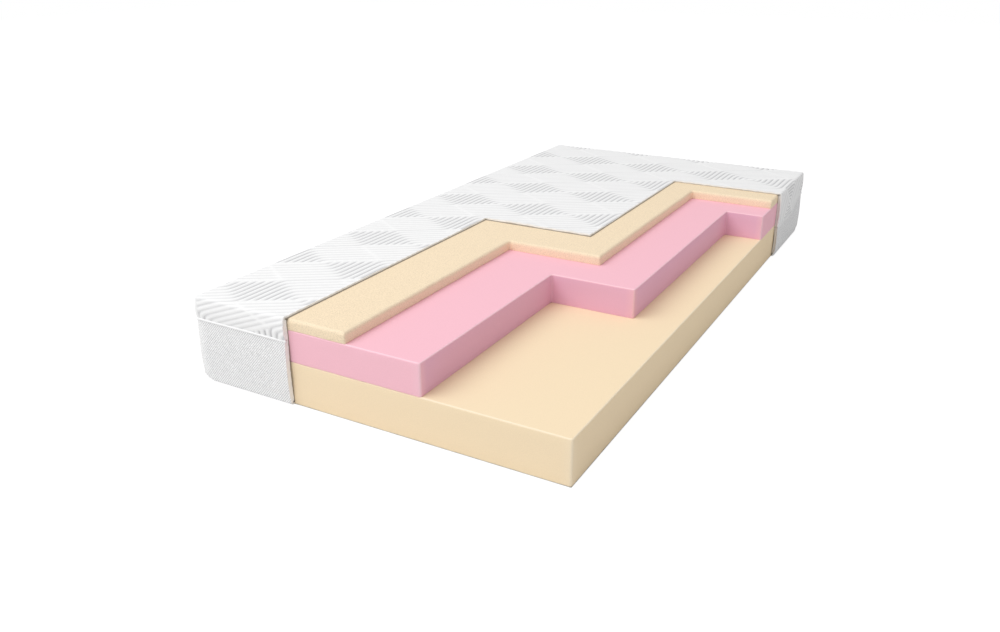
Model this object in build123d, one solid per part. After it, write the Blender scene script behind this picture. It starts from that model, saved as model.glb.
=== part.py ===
"""Foam mattress of 100 x 200 cm in a zip cover, cut open in steps to show its layers. Sizes in mm.

+X is the width, +Y the length and +Z up. The origin is on the floor at the middle of the mattress.
The layers are cut away at the near right corner, and the zip is on the left long side.
"""
import os
from build123d import *

# Foam core, cut a little under the nominal size of the mattress
CORE_WIDTH = 990.0
CORE_LENGTH = 1990.0
BASE_HEIGHT = 109.0
MIDDLE_HEIGHT = 80.0
TOP_HEIGHT = 27.0
FIRM_CORNER = 6.0
FIRM_EDGE = 4.0
SOFT_CORNER = 7.0
SOFT_EDGE = 5.0

# Cover, with the border face set back behind the face of the upper knit
BOTTOM_THICK = 1.0
KNIT = 3.0
TOP_WADDING = 3.0
SIDE_WADDING = 7.0
BORDER_TWILL = 1.0
COVER_CORNER = 8.0
COVER_TOP_EDGE = 7.0
COVER_BOTTOM_EDGE = 9.0
BOTTOM_TUCK = 24.0
PIPING_HEIGHT = 3.0

# Stepped cuts: near end X, front Y, side X, right side Y
COVER_CUT = (-220.0, -99.0, 131.0, 645.0)
TOP_CUT = (-57.0, -245.0, 224.0, 557.0)
MIDDLE_CUT = (140.0, -370.0, 375.0, 456.0)

# Seam between knit and border: level along the sides, higher round the ends
SEAM_SIDE = 102.0
SEAM_NEAR = 164.0
SEAM_FAR = 144.0
SEAM_LEVEL_HALF = 815.0

# Zip in the left side, along the level part of the seam
ZIP_HALF = 776.0
ZIP_SLOT_HALF = 790.0
TAPE_HALF = 800.0
ZIP_POCKET_HALF = 802.0
ZIP_SLOT_HEIGHT = 13.0
ZIP_POCKET_HEIGHT = 36.0
ZIP_FACE = -498.4
TAPE = 0.8
TAPE_WIDTH = 16.0
HEM_WIDTH = 11.0
COIL_GAP = 1.4
COIL_WIDTH = 2.8
COIL_DEPTH = 2.2
COIL_ROUND = 0.7
STOP_LENGTH = 2.5
STOP_WALL = 0.7
STOP_PARTING = 0.4

# Slider and pull, with the zip closed and the slider at its near end
SLIDER_LENGTH = 14.0
SLIDER_MOUTH = 10.6
SLIDER_TAIL = 9.2
SLIDER_CHANNEL = 7.8
SLIDER_PLATE = 1.2
SLIDER_CLEAR = 0.3
POST_SETBACK = 1.0
POST_LENGTH = 4.0
POST_THICK = 0.8
BAIL_LENGTH = 9.0
BAIL_WIDTH = 2.0
BAIL_BAR = 0.8
BAIL_OPEN = 2.2
PIN_RADIUS = 0.7
PULL_LENGTH = 26.0
PULL_WIDTH = 7.0
PULL_NECK = 5.6
PULL_THICK = 1.2
PULL_END_ROUND = 3.0
PULL_EYE_LENGTH = 6.2
PULL_EYE_WIDTH = 2.9
PULL_HOLE_RADIUS = 1.6

# Heights and half sizes that follow
BASE_TOP = BOTTOM_THICK + BASE_HEIGHT
MIDDLE_TOP = BASE_TOP + MIDDLE_HEIGHT
CORE_TOP = MIDDLE_TOP + TOP_HEIGHT
WADDING_TOP = CORE_TOP + TOP_WADDING
COVER_TOP = WADDING_TOP + KNIT
CORE_X = CORE_WIDTH / 2
CORE_Y = CORE_LENGTH / 2
WADDING_X = CORE_X + SIDE_WADDING
WADDING_Y = CORE_Y + SIDE_WADDING
KNIT_X = WADDING_X + KNIT
KNIT_Y = WADDING_Y + KNIT
BORDER_X = WADDING_X + BORDER_TWILL
BORDER_Y = WADDING_Y + BORDER_TWILL
SLIDER_Y = -ZIP_HALF + 1.5 * STOP_LENGTH + STOP_PARTING + SLIDER_LENGTH / 2
COIL_FRONT = ZIP_FACE - COIL_DEPTH
SLIDER_FACE = COIL_FRONT - SLIDER_CLEAR - SLIDER_PLATE
BEYOND = 60.0
FAR_OUT = KNIT_Y + BEYOND


def block(low, high):
    """Box between two corners."""
    size = [b - a for a, b in zip(low, high)]
    middle = [(a + b) / 2 for a, b in zip(low, high)]
    return Pos(*middle) * Box(*size)


def rounded_block(half_x, half_y, bottom, top, corner):
    """Block with its four upright edges rounded."""
    plain = block((-half_x, -half_y, bottom), (half_x, half_y, top))
    return fillet(plain.edges().filter_by(Axis.Z), corner)


def kept_outline(cut, half_x, half_y):
    """Outline of what is left of a layer after its stepped cut."""
    near_x, front_y, side_x, right_y = cut
    return [
        (-half_x, -half_y),
        (near_x, -half_y),
        (near_x, front_y),
        (side_x, front_y),
        (side_x, right_y),
        (half_x, right_y),
        (half_x, half_y),
        (-half_x, half_y),
    ]


def stepped_prism(cut, half_x, half_y, bottom, top, corner=0.0):
    """Upright prism over the kept outline."""
    outline = make_face(Polyline(*kept_outline(cut, half_x, half_y), close=True))
    if corner:
        outline = fillet(outline.vertices(), corner)
    return extrude(Pos(0, 0, bottom) * outline, top - bottom, dir=(0, 0, 1))


def round_top(slab, radius):
    """Slab with all edges of its top face rounded."""
    return fillet(slab.faces().sort_by(Axis.Z)[-1].edges(), radius)


def make_base_foam():
    slab = rounded_block(CORE_X, CORE_Y, BOTTOM_THICK, BASE_TOP, FIRM_CORNER)
    slab = round_top(slab, FIRM_EDGE)
    return fillet(slab.faces().sort_by(Axis.Z)[0].edges(), FIRM_EDGE)


def make_middle_foam():
    slab = stepped_prism(MIDDLE_CUT, CORE_X, CORE_Y, BASE_TOP, MIDDLE_TOP, FIRM_CORNER)
    return round_top(slab, FIRM_EDGE)


def make_top_foam():
    slab = stepped_prism(TOP_CUT, CORE_X, CORE_Y, MIDDLE_TOP, CORE_TOP, SOFT_CORNER)
    return round_top(slab, SOFT_EDGE)


def seam_curve(shift):
    """Seam line in the YZ plane: level along the side, with a double bend up to each end."""
    side = SEAM_SIDE + shift
    points = []
    for end, height in ((-KNIT_Y, SEAM_NEAR + shift), (KNIT_Y, SEAM_FAR + shift)):
        level = SEAM_LEVEL_HALF if end > 0 else -SEAM_LEVEL_HALF
        points.append(((end, height), ((end + level) / 2, (height + side) / 2), (level, side)))
    near, far = points
    return [
        Line((-FAR_OUT, near[0][1]), near[0]),
        TangentArc(near[0], near[1], tangent=(1, 0)),
        TangentArc(near[2], near[1], tangent=(-1, 0)),
        Line(near[2], far[2]),
        TangentArc(far[2], far[1], tangent=(1, 0)),
        TangentArc(far[0], far[1], tangent=(-1, 0)),
        Line(far[0], (FAR_OUT, far[0][1])),
    ]


def beside_seam(shift, limit):
    """Everything between the shifted seam and a level plane."""
    start = (-FAR_OUT, SEAM_NEAR + shift)
    end = (FAR_OUT, SEAM_FAR + shift)
    corners = Polyline(end, (FAR_OUT, limit), (-FAR_OUT, limit), start)
    section = make_face(Curve() + seam_curve(shift) + corners)
    return extrude(Plane.YZ * section, KNIT_X + BEYOND, both=True)


def above_seam(shift):
    return beside_seam(shift, COVER_TOP + BEYOND)


def below_seam(shift):
    return beside_seam(shift, -BEYOND)


def kept_cover():
    """Space in which the cover is left standing."""
    return stepped_prism(COVER_CUT, KNIT_X + BEYOND, KNIT_Y + BEYOND, -BEYOND, COVER_TOP + BEYOND)


def knit_body(inset, corner, edge, top):
    """Rounded body as wide as the knit less an inset."""
    body = rounded_block(KNIT_X - inset, KNIT_Y - inset, SEAM_SIDE - BEYOND, top, corner)
    return round_top(body, edge)


def border_body(inset):
    """Rounded body as wide as the border less an inset, from the floor up.

    The bottom edges are rounded more than the upright ones, so each pair is rounded on a block of its own.
    """
    half_x = BORDER_X - inset
    half_y = BORDER_Y - inset
    top = SEAM_NEAR + BEYOND
    body = rounded_block(half_x, half_y, inset, top, COVER_CORNER - inset)
    for axis in (Axis.X, Axis.Y):
        trough = block((-half_x, -half_y, inset), (half_x, half_y, top))
        bottom_pair = trough.edges().filter_by(axis).sort_by(Axis.Z)[:2]
        body = body & fillet(bottom_pair, COVER_BOTTOM_EDGE - inset)
    return body


def core_space():
    """Space that the foam takes up inside the cover."""
    return rounded_block(CORE_X, CORE_Y, BOTTOM_THICK, CORE_TOP, FIRM_CORNER)


def bottom_space():
    """Space of the bottom panel between the tucked-in edges of the border."""
    return block(
        (-BORDER_X + BOTTOM_TUCK, -BORDER_Y + BOTTOM_TUCK, 0),
        (BORDER_X - BOTTOM_TUCK, BORDER_Y - BOTTOM_TUCK, BOTTOM_THICK),
    )


def zip_slot():
    """Opening between knit and border in which the coil shows."""
    half = ZIP_SLOT_HEIGHT / 2
    return block(
        (-KNIT_X - BEYOND, -ZIP_SLOT_HALF, SEAM_SIDE - half),
        (-CORE_X, ZIP_SLOT_HALF, SEAM_SIDE + half),
    )


def zip_pocket():
    """Room behind the fabric for tapes, hems and the back of the slider."""
    half = ZIP_POCKET_HEIGHT / 2
    return block(
        (-WADDING_X, -ZIP_POCKET_HALF, SEAM_SIDE - half),
        (-CORE_X, ZIP_POCKET_HALF, SEAM_SIDE + half),
    )


def zip_hem(side):
    """Fabric edge folded back beside the slot, to which a tape is sewn. side is 1 above and -1 below."""
    start = side * ZIP_SLOT_HEIGHT / 2
    heights = sorted((SEAM_SIDE + start, SEAM_SIDE + start + side * HEM_WIDTH))
    return block((-WADDING_X, -ZIP_SLOT_HALF, heights[0]), (ZIP_FACE, ZIP_SLOT_HALF, heights[1]))


def make_upper_knit():
    outside = knit_body(0, COVER_CORNER, COVER_TOP_EDGE, COVER_TOP)
    inside = knit_body(KNIT, COVER_CORNER - KNIT, COVER_TOP_EDGE - KNIT, WADDING_TOP)
    shell = (outside - inside) & above_seam(PIPING_HEIGHT / 2) & kept_cover()
    return shell - zip_slot() + zip_hem(1)


def make_upper_wadding():
    body = knit_body(KNIT, COVER_CORNER - KNIT, COVER_TOP_EDGE - KNIT, WADDING_TOP) - core_space()
    return (body & above_seam(0) & kept_cover()) - zip_pocket()


def make_border():
    shell = border_body(0) - border_body(BORDER_TWILL) - bottom_space()
    shell = shell & below_seam(-PIPING_HEIGHT / 2) & kept_cover()
    return shell - zip_slot() + zip_hem(-1)


def make_border_wadding():
    body = border_body(BORDER_TWILL) - core_space() - bottom_space()
    return (body & below_seam(0) & kept_cover()) - zip_pocket()


def make_bottom_panel():
    """Panel under the foam. Where the border is cut away it runs out to the face of the foam."""
    under_foam = rounded_block(CORE_X, CORE_Y, 0, BOTTOM_THICK, FIRM_CORNER)
    return bottom_space() + (under_foam - kept_cover())


def make_seam_piping(end):
    """Piping round one end of the cover, from the zip slot to the cut. end is -1 near and 1 far."""
    outside = rounded_block(KNIT_X, KNIT_Y, SEAM_SIDE - BEYOND, SEAM_NEAR + BEYOND, COVER_CORNER)
    inside = rounded_block(
        WADDING_X, WADDING_Y, SEAM_SIDE - BEYOND, SEAM_NEAR + BEYOND, COVER_CORNER - KNIT
    )
    half = PIPING_HEIGHT / 2
    band = (outside - inside) & above_seam(-half) & below_seam(half) & kept_cover()
    low, high = sorted((0, end * FAR_OUT))
    side = block((-FAR_OUT, low, -BEYOND), (FAR_OUT, high, COVER_TOP + BEYOND))
    return (band & side) - zip_slot()


def zip_row(side, inner, outer, face, back, half):
    """Straight strip along the zip, between two distances from its middle line."""
    heights = sorted((SEAM_SIDE + side * inner, SEAM_SIDE + side * outer))
    return block((face, -half, heights[0]), (back, half, heights[1]))


def make_zip_tape(side):
    """Tape whose ends run past the slot, behind the fabric."""
    inner = COIL_GAP / 2 + STOP_WALL
    return zip_row(side, inner, inner + TAPE_WIDTH, ZIP_FACE, ZIP_FACE + TAPE, TAPE_HALF)


def make_zip_coil(side):
    inner = COIL_GAP / 2
    row = zip_row(side, inner, inner + COIL_WIDTH, COIL_FRONT, ZIP_FACE, ZIP_HALF)
    front = row.faces().sort_by(Axis.X)[0].edges().filter_by(Axis.Y)
    return fillet(front, COIL_ROUND)


def stop_clip(low, high, middle_y):
    """Metal clip folded round coil and tape."""
    clip = block(
        (COIL_FRONT - STOP_WALL, middle_y - STOP_LENGTH / 2, SEAM_SIDE + low),
        (ZIP_FACE + TAPE + STOP_WALL, middle_y + STOP_LENGTH / 2, SEAM_SIDE + high),
    )
    for side in (1, -1):
        clip = clip - make_zip_tape(side) - make_zip_coil(side)
    return clip


def make_top_stop(side):
    """Stop on one row beyond the closed end of the slider's travel."""
    reach = COIL_GAP / 2 + COIL_WIDTH + STOP_WALL
    low, high = sorted((side * STOP_PARTING / 2, side * reach))
    return stop_clip(low, high, -ZIP_HALF + STOP_LENGTH)


def make_bottom_stop():
    """Stop across both rows at the open end."""
    reach = COIL_GAP / 2 + COIL_WIDTH + STOP_WALL
    return stop_clip(-reach, reach, ZIP_HALF - STOP_LENGTH)


def slider_plate(back, front):
    """Plate that is wide at the mouth and narrow at the tail."""
    mouth = SLIDER_MOUTH / 2
    tail = SLIDER_TAIL / 2
    half = SLIDER_LENGTH / 2
    outline = make_face(Polyline((-half, -mouth), (half, -tail), (half, tail), (-half, mouth), close=True))
    outline = fillet(outline.vertices(), SLIDER_PLATE)
    place = Plane(origin=(back, SLIDER_Y, SEAM_SIDE), x_dir=(0, 1, 0), z_dir=(-1, 0, 0))
    return extrude(place * outline, back - front)


def make_zip_slider():
    """Two plates joined by a thin post that runs between the coil rows, with flanges beside the rows."""
    inside = SLIDER_FACE + SLIDER_PLATE
    tape_back = ZIP_FACE + TAPE + SLIDER_CLEAR
    start = SLIDER_Y - SLIDER_LENGTH / 2
    end = start + SLIDER_LENGTH
    front_plate = slider_plate(inside, SLIDER_FACE)
    back_plate = slider_plate(tape_back + SLIDER_PLATE, tape_back)
    channel = block(
        (inside, start, SEAM_SIDE - SLIDER_CHANNEL / 2),
        (ZIP_FACE, end, SEAM_SIDE + SLIDER_CHANNEL / 2),
    )
    flanges = slider_plate(ZIP_FACE - SLIDER_CLEAR, inside) - channel
    post = block(
        (inside, start + POST_SETBACK, SEAM_SIDE - POST_THICK / 2),
        (tape_back, start + POST_SETBACK + POST_LENGTH, SEAM_SIDE + POST_THICK / 2),
    )
    return front_plate + flanges + post + back_plate + make_bail()


def make_bail():
    """Arch along the front plate that holds the pull."""
    face = SLIDER_FACE
    half = BAIL_LENGTH / 2
    tall = BAIL_OPEN + BAIL_BAR
    arch = block(
        (face - tall, SLIDER_Y - half, SEAM_SIDE - BAIL_WIDTH / 2),
        (face, SLIDER_Y + half, SEAM_SIDE + BAIL_WIDTH / 2),
    )
    outer = arch.faces().sort_by(Axis.X)[0].edges().filter_by(Axis.Z)
    arch = fillet(outer, 2 * BAIL_BAR)
    opening = block(
        (face - BAIL_OPEN, SLIDER_Y - half + BAIL_BAR, SEAM_SIDE - BAIL_WIDTH),
        (face, SLIDER_Y + half - BAIL_BAR, SEAM_SIDE + BAIL_WIDTH),
    )
    inner = opening.faces().sort_by(Axis.X)[0].edges().filter_by(Axis.Z)
    return arch - fillet(inner, BAIL_BAR)


def make_zip_pull():
    """Tab whose eye hangs in the bail on a round bar."""
    axis_x = SLIDER_FACE - BAIL_OPEN / 2
    neck = PULL_NECK / 2
    wide = PULL_WIDTH / 2
    outline = make_face(
        Polyline((0, -neck), (PULL_LENGTH, -wide), (PULL_LENGTH, wide), (0, neck), close=True)
    )
    ends = outline.vertices().sort_by(Axis.X)[-2:]
    outline = fillet(ends, PULL_END_ROUND)
    eye = Pos(PULL_EYE_LENGTH / 2, 0) * Rectangle(PULL_EYE_LENGTH, PULL_EYE_WIDTH)
    hole = Pos(PULL_LENGTH - wide, 0) * Circle(PULL_HOLE_RADIUS)
    place = Plane(origin=(axis_x, SLIDER_Y, SEAM_SIDE), x_dir=(0, 1, 0), z_dir=(-1, 0, 0))
    tab = extrude(place * (outline - eye - hole), PULL_THICK / 2, both=True)
    bar = Pos(axis_x, SLIDER_Y, SEAM_SIDE) * Cylinder(PIN_RADIUS, PULL_NECK)
    return tab + bar


NODES = {
    "base_foam": make_base_foam,
    "middle_foam": make_middle_foam,
    "top_foam": make_top_foam,
    "upper_knit": make_upper_knit,
    "upper_wadding": make_upper_wadding,
    "border_twill": make_border,
    "border_wadding": make_border_wadding,
    "bottom_panel": make_bottom_panel,
    "seam_piping_near": lambda: make_seam_piping(-1),
    "seam_piping_far": lambda: make_seam_piping(1),
    "zip_tape_upper": lambda: make_zip_tape(1),
    "zip_tape_lower": lambda: make_zip_tape(-1),
    "zip_coil_upper": lambda: make_zip_coil(1),
    "zip_coil_lower": lambda: make_zip_coil(-1),
    "zip_top_stop_upper": lambda: make_top_stop(1),
    "zip_top_stop_lower": lambda: make_top_stop(-1),
    "zip_bottom_stop": make_bottom_stop,
    "zip_slider": make_zip_slider,
    "zip_pull": make_zip_pull,
}

os.makedirs("parts", exist_ok=True)
for name, make in NODES.items():
    export_step(make(), f"parts/{name}.step")
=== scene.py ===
"""Looks of a foam mattress whose zip cover and foam layers are cut open in steps. Sizes in metres.

+X is the width, +Y the length and +Z up, in the same frame as the solids. The layers are cut away at
the near right corner, and the zip is on the left long side.
"""

import math
from functools import partial

import bpy
import numpy as np
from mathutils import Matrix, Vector


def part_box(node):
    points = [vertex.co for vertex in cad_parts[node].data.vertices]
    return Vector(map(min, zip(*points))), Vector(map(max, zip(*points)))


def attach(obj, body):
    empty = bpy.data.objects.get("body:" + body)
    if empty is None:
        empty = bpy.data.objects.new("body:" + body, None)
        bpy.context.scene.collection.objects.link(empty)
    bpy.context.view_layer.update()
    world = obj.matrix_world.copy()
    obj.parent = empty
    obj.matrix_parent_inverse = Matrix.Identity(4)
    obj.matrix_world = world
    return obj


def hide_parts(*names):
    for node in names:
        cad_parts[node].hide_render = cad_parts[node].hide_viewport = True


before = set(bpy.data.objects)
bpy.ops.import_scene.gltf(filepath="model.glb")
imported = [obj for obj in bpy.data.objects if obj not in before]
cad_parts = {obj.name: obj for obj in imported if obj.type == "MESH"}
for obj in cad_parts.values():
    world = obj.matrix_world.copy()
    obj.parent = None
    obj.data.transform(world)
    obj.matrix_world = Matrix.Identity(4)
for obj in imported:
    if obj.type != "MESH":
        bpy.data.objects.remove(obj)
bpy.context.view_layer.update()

# Stepped cuts: near end X, front Y, side X, right side Y
COVER_CUT = (-0.220, -0.099, 0.131, 0.645)
TOP_CUT = (-0.057, -0.245, 0.224, 0.557)
MIDDLE_CUT = (0.140, -0.370, 0.375, 0.456)

# Corners of a cut in the outline that is left, and which of them are inner corners
CUT_CORNERS = slice(1, 6)
INNER_CORNERS = (2, 4)

# Half sizes and heights that the solids give
CORE_X, CORE_Y, BASE_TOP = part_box("base_foam")[1]
CORE_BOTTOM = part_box("base_foam")[0][2]
MIDDLE_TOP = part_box("middle_foam")[1][2]
CORE_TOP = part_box("top_foam")[1][2]
KNIT_X, KNIT_Y, COVER_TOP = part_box("upper_knit")[1]
BORDER_X, BORDER_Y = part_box("border_twill")[1][:2]
PANEL_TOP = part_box("bottom_panel")[1][2]

# Edges, unevenness and mesh steps of the foam
FIRM_CORNER = 0.006
FIRM_EDGE = 0.004
SOFT_CORNER = 0.005
SOFT_EDGE = 0.009
UNDER_EDGE = 0.001
SHARPEST = 0.0003
EDGE_REACH = 1.5
EDGE_STEPS = 7
WALL_STEPS = 6
TOP_RINGS = (1.3, 2.0)
FIRM_UNEVEN = 0.0003
SOFT_UNEVEN = 0.0007
UNEVEN_LENGTH = 0.11
FINE_UNEVEN_LENGTH = 0.037
FINE_UNEVEN_SHARE = 0.6

# Edges, layers and mesh steps of the cover
COVER_EDGE = 0.007
KNIT_BULGE = 0.0025
BORDER_CORNER = 0.005
BORDER_BULGE = 0.0025
BOTTOM_EDGE = 0.006
CORNER_TUCK = 0.008
CORNER_TUCK_REACH = 0.025
CORNER_TUCK_HEIGHT = 0.020
BOTTOM_TUCK = 0.024
BOTTOM_STEP = 0.05
WADDING_STEP = 0.012
WADDING_ROW = 0.008
WADDING_ARC_STEPS = 6
WADDING_FOOT_STEPS = 10
CORNER_STEPS = 11
CORNER_DROP_STEPS = 28
KNIT = 0.003
TWILL = 0.001
TOP_WADDING_DEPTH = COVER_TOP - CORE_TOP
SIDE_WADDING_DEPTH = KNIT_X - CORE_X
EDGE_FILL = 0.004
WADDING_RECESS = 0.0004
SIDE_RECESS = 0.002
# Painted shade at the cut rims of the wadding: the grey tone of the right cut, and the share that
# widens the grey band on the top's cut rim.
CUT_SHADE_TONE = 0.22
TOP_CUT_SHADE = 0.3
RIM_REACH = 0.002
RIM_UNEVEN = 0.0006
RIM_WAVE = 0.017
BORDER_RIM_WAVE = 0.013
PIPING_RADIUS = 0.0028
PIPING_SET = 0.0004
PIPING_STEP = 0.003
PIPING_SIDES = 10
FLAT_X = KNIT_X - COVER_EDGE
FLAT_Y = KNIT_Y - COVER_EDGE
EDGE_ARC = COVER_EDGE * math.pi / 2
BORDER_FOLD = BOTTOM_TUCK - BOTTOM_EDGE + BOTTOM_EDGE * math.pi / 2
CORNER_TURNS = np.linspace(0, math.pi / 2, 8)

# Seam between knit and border: level along the sides, higher round the ends
SEAM_SIDE = 0.102
SEAM_NEAR = 0.164
SEAM_FAR = 0.144
SEAM_LEVEL_HALF = 0.815
SEAM_HALF = 0.0003

# Zip in the left side. Slot in the cloth, and pocket in the wadding: half length and half height
SLOT = (0.790, 0.0065)
POCKET = (0.802, 0.018)
GAP_END = 0.020
ZIP_FACE = -0.4984
PIPING_OVERLAP = 0.004
PIPING_DIP = 0.006
PIPING_DIP_LENGTH = 0.016
TAPE_MEET = 0.006
TAPE_PARTING = 0.0002
TAPE_STEP = 0.008
TAPE_ROUND = 0.00025
TAPE_SLOPE = 0.0002
TAPE_CORD = 0.0012
TAPE_GROOVE_END = 0.0024
TAPE_SELVEDGE = 0.0010
COIL_MESH = 0.0004
COIL_PITCH = 0.0016
COIL_FILAMENT = 0.00035
COIL_STEPS = 8
COIL_SIDES = 5

# Ribs of the knit: bands of rhombic fields, every third field with its ribs lengthwise
RIB_ORIGIN = (0.110, 0.068)
FIELD_X = 0.125
FIELD_Y = 0.242 / 3
FIELD_RIBS = 7
FIELD_CYCLE = 3
RIB_SAMPLES = 4
RIB_RELIEF = 0.0028
RIB_BEND = 0.09
GROOVE_POWER = 2.0
# Slanting fields get shallower grooves, and with them less painted groove shade.
SLANTING_DEPTH = 0.42
SLANTING_UPRIGHT_DEPTH = 0.5
LONG_SIDE_RELIEF = 0.2
BAND_EDGE_DEPTH = 0.6
FIELD_GAP = 0.045
GAP_FILL = 0.75
FIELD_SEAM = 0.06
FIELD_EDGE = 0.15
SEAM_FILL = 0.7
SIDE_DRAW = 0.58
CORNER_FADE = 0.006
CORNER_GROOVE = 0.2
CORNER_POWER = 0.4

# Cut edge of the cover: it stands off the foam, more so at the near end, and slants back
LIFT = 0.0004
LIFT_NEAR = 0.0014
LIFT_FRONT = 0.0014
LIFT_REACH = 0.035
LIFT_WAVE = 0.9
LIFT_WAVE_LENGTH = 0.09
NEAR_REACH = 0.02
FRONT_REACH = 0.05
CUT_SLANT = 0.003

# Twill lines of the border, rising to the right
TWILL_PITCH = 0.0047
TWILL_ANGLE = math.radians(48)
TWILL_SAMPLES = 4
TWILL_ROW = 0.006
TWILL_RELIEF = 0.0006
TWILL_FADE = 0.025
TWILL_PLAIN = 0.5
# Painted shade: the twill is painted darker on the long sides by this share.
TWILL_SIDE_SHADE = 0.8

# Camera of the photograph, with its focal length in pixels
CAMERA_PLACE = (1.0987, -2.3611, 0.9936)
CAMERA_PITCH = 0.39651
CAMERA_YAW = 0.51122
CAMERA_FOCAL = 882.0
PHOTO_WIDTH = 1000
SENSOR_WIDTH = 36

# Light and floor
SKY_LIGHT = 0.57
KEY_LIGHT = 610.0
KEY_SIZE = 9.0
KEY_PLACE = (-3.6, -4.5, 8.1)
FLOOR_TONE = 0.8
FLOOR_SHADOW = 0.20
FLOOR_GLOW = 0.90
FLOOR_HALF = 12.0
FLOOR_GAP = 0.0005

# Directions and phases of the waves that make a form uneven
RIPPLE_WAVES = np.array(((1, 0.61, 0.37, 0), (-0.83, 1.31, 0.52, 1.7), (0.71, 0.47, -1.23, 0.6)))


def smooth(x):
    """Smooth step from 0 to 1."""
    x = np.clip(x, 0, 1)
    return x * x * (3 - 2 * x)


def ripple(places, length):
    """Uneven smooth waves over points, between -1 and 1."""
    turns = places @ RIPPLE_WAVES[:, :3].T * (2 * math.pi / length)
    return np.sin(turns + RIPPLE_WAVES[:, 3]).mean(axis=1)


def unit(vectors):
    """Vectors scaled to a length of 1."""
    return vectors / np.linalg.norm(vectors, axis=1, keepdims=True)


def at_height(plan, height):
    """Places of plan points at one height, or each at its own."""
    return np.column_stack((plan, np.broadcast_to(height, len(plan))))


# Meshes

def grid_points(rows, columns):
    """Points of a grid in a plane, stored row by row."""
    return np.stack(np.meshgrid(rows, columns, indexing="ij"), axis=-1).reshape(-1, 2)


def grid_faces(rows, columns, flip=False):
    """Quads of a grid of points stored row by row."""
    index = np.arange(rows * columns).reshape(rows, columns)
    quads = np.stack((index[:-1, :-1], index[1:, :-1], index[1:, 1:], index[:-1, 1:]), axis=-1)
    quads = quads.reshape(-1, 4)
    return quads[:, ::-1] if flip else quads


def compact(points, faces):
    """Drops the points that no face uses."""
    used, inverse = np.unique(faces, return_inverse=True)
    return points[used], inverse.reshape(faces.shape)


def trim(points, faces, outside):
    """Drops faces that lie outside, and moves the outside points of the others to the edge."""
    out, edge = outside(points)
    faces = faces[~out[faces].all(axis=1)]
    return compact(np.where(out[:, None], edge, points), faces)


def open_edges(faces):
    """Directed edges that only one face has."""
    starts = faces.reshape(-1)
    ends = np.roll(faces, -1, axis=1).reshape(-1)
    size = faces.max() + 1
    single = ~np.isin(starts * size + ends, ends * size + starts)
    return np.stack((starts[single], ends[single]), axis=1)


def rim_faces(faces, points, inner):
    """Wall from the open edges to the same points further in, as new points and quads."""
    edges = open_edges(faces)
    outside, pairs = compact(points, edges)
    inside = compact(inner, edges)[0]
    start, end = pairs.T
    count = len(outside)
    quads = np.stack((start, start + count, end + count, end), axis=1)
    return np.concatenate((outside, inside)), quads


def merge(parts):
    """Joins sets of points and faces into one list of points and one of faces."""
    places = []
    faces = []
    offset = 0
    for points, part_faces in parts:
        places.append(points)
        faces.extend((np.asarray(part_faces) + offset).tolist())
        offset += len(points)
    return np.concatenate(places), faces


def hemmed(points, faces, inner, patches=()):
    """Cloth with its edges turned in, joined with its patches."""
    return merge([(points, faces), rim_faces(faces, points, inner), *patches])


def skin_faces(rings, sides, flip=False):
    """Faces of a closed skin over a row of rings of points, with flat ends."""
    index = np.arange(rings * sides).reshape(rings, sides)
    following = np.roll(index, -1, axis=1)
    quads = np.stack((index[:-1], following[:-1], following[1:], index[1:]), axis=-1)
    faces = quads.reshape(-1, 4).tolist()
    faces.append(index[0][::-1].tolist())
    faces.append(index[-1].tolist())
    return [face[::-1] for face in faces] if flip else faces


def flat_area(points, faces):
    """Area of the faces of a cloth that lies flat."""
    x, y = points[faces].transpose(2, 0, 1)
    return np.abs((x * np.roll(y, -1, axis=1) - y * np.roll(x, -1, axis=1)).sum(axis=1)).sum() / 2


def placed(name, data):
    """New object in the scene."""
    made = bpy.data.objects.new(name, data)
    bpy.context.scene.collection.objects.link(made)
    return made


def new_piece(name, node, points, faces, material, relief=None):
    """Piece of the mattress, drawn for a node. relief is an amount at each point that the colour ramps
    read: the share of full height of ribs or lines, or where painted shade and highlights go.
    """
    mesh = bpy.data.meshes.new(name)
    mesh.from_pydata(points.tolist(), [], faces)
    mesh.polygons.foreach_set("use_smooth", [True] * len(mesh.polygons))
    if relief is not None:
        mesh.attributes.new("relief", "FLOAT", "POINT").data.foreach_set("value", relief)
    mesh.materials.append(material)
    mesh.update()
    piece = placed(name, mesh)
    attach(piece, "mattress")
    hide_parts(node)
    return piece


# Materials

def colour(red, green, blue):
    """Linear colour from screen values of 0 to 255."""
    linear = []
    for value in (red, green, blue):
        part = value / 255
        linear.append(part / 12.92 if part <= 0.04045 else ((part + 0.055) / 1.055) ** 2.4)
    return (*linear, 1)


def grey(tone):
    """Neutral colour of a linear tone."""
    return (tone, tone, tone, 1)


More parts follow.
